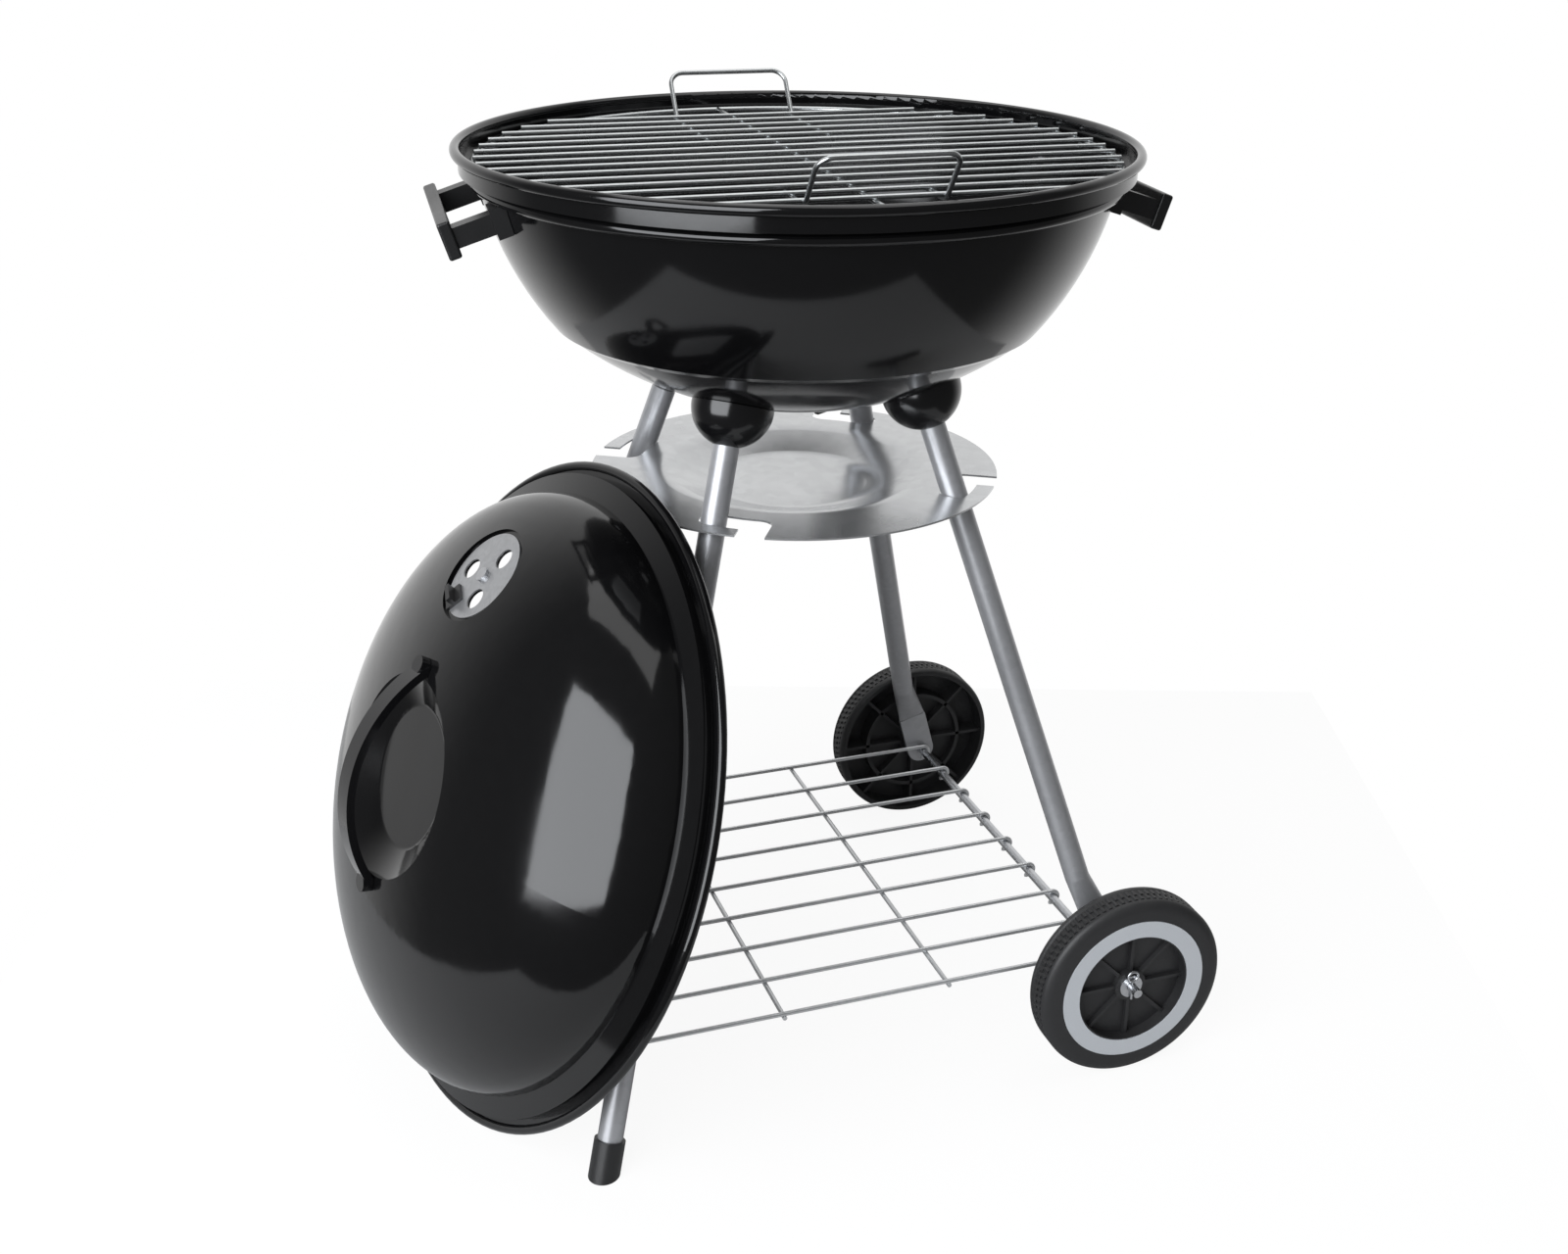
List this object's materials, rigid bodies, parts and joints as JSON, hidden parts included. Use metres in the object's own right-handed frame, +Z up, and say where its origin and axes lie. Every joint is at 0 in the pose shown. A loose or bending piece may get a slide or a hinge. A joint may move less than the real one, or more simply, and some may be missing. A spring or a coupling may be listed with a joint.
{
  "type": "kettle charcoal grill",
  "caption": "Round kettle charcoal grill with open bowl and wire grate on splayed tube legs, wheels on one side, wire shelf, ash tray, and its domed lid leaning beside it.",
  "frame": {"origin": "bottom centre of the bounding box, on the floor", "axes": "+Z up, +X towards the wheels, -Y the front side"},
  "size_m": [0.5494, 0.4603, 0.6072],
  "materials": {
    "black_enamel": "gloss black porcelain enamel",
    "black_plastic": "black moulded plastic, fine satin",
    "black_gloss": "gloss black moulded plastic",
    "galvanised": "bright galvanised steel",
    "chromed_wire": "chromed steel wire",
    "plain_wire": "plain steel wire",
    "zinc": "zinc-plated steel",
    "grey_plastic": "light grey plastic"
  },
  "bodies": {
    "stand": {"bowl_vent_rivet": "zinc", "handle_left": "black_plastic", "handle_right": "black_plastic", "handle_spacers": "black_plastic", "handle_screws": "zinc", "socket_front_left": "black_gloss", "socket_rear_left": "black_gloss", "socket_front_right": "black_gloss", "socket_rear_right": "black_gloss", "socket_bolts": "zinc", "leg_inserts": "zinc", "bowl": "black_enamel", "leg_front_left": "galvanised", "foot_cap_front_left": "black_plastic", "leg_rear_left": "galvanised", "foot_cap_rear_left": "black_plastic", "leg_front_right": "galvanised", "leg_rear_right": "galvanised", "cotter_pin_front": "zinc", "cotter_pin_rear": "zinc", "axle": "zinc", "axle_washers": "zinc", "shelf": "chromed_wire"},
    "wheel_front": {"wheel_front": "black_plastic", "wheel_ring_front": "grey_plastic"},
    "wheel_rear": {"wheel_rear": "black_plastic", "wheel_ring_rear": "grey_plastic"},
    "ash_tray": {"ash_tray": "galvanised"},
    "bowl_vent": {"bowl_damper": "zinc", "bowl_damper_tab": "black_plastic"},
    "charcoal_grate": {"charcoal_grate": "plain_wire"},
    "cooking_grate": {"cooking_grate": "chromed_wire"},
    "lid": {"lid": "black_enamel", "lid_handle": "black_plastic", "lid_handle_screws": "zinc", "lid_vent_rivet": "zinc"},
    "lid_vent": {"lid_damper": "zinc", "lid_damper_tab": "black_plastic"}
  },
  "joints": [
    {"name": "wheel_front_spin", "type": "hinge", "parent": "stand", "child": "wheel_front", "pos_m": [0.20973, -0.17231, 0.065], "axis": [0, 1, 0], "continuous": true},
    {"name": "wheel_rear_spin", "type": "hinge", "parent": "stand", "child": "wheel_rear", "pos_m": [0.20973, 0.21769, 0.065], "axis": [0, 1, 0], "continuous": true},
    {"name": "ash_tray_turn", "type": "hinge", "parent": "stand", "child": "ash_tray", "pos_m": [0.03873, 0.02269, 0.38], "axis": [0, 0, -1], "range_deg": [0, 14]},
    {"name": "bowl_vent_turn", "type": "hinge", "parent": "stand", "child": "bowl_vent", "pos_m": [0.03873, 0.02269, 0.42948], "axis": [0, 0, 1], "range_deg": [0, 60]},
    {"name": "charcoal_grate_lift", "type": "slide", "parent": "stand", "child": "charcoal_grate", "axis": [0, 0, 1], "range_m": [0, 0.08]},
    {"name": "cooking_grate_lift", "type": "slide", "parent": "stand", "child": "cooking_grate", "axis": [0, 0, 1], "range_m": [0, 0.15]},
    {"name": "lid_take_away", "type": "slide", "parent": "stand", "child": "lid", "axis": [-0.9101, -0.1934, 0.3665], "range_m": [0, 0.25]},
    {"name": "lid_vent_turn", "type": "hinge", "parent": "lid", "child": "lid_vent", "pos_m": [-0.17206, -0.01461, 0.34386], "axis": [-0.6961, -0.112, 0.7091], "range_deg": [0, 60]}
  ]
}
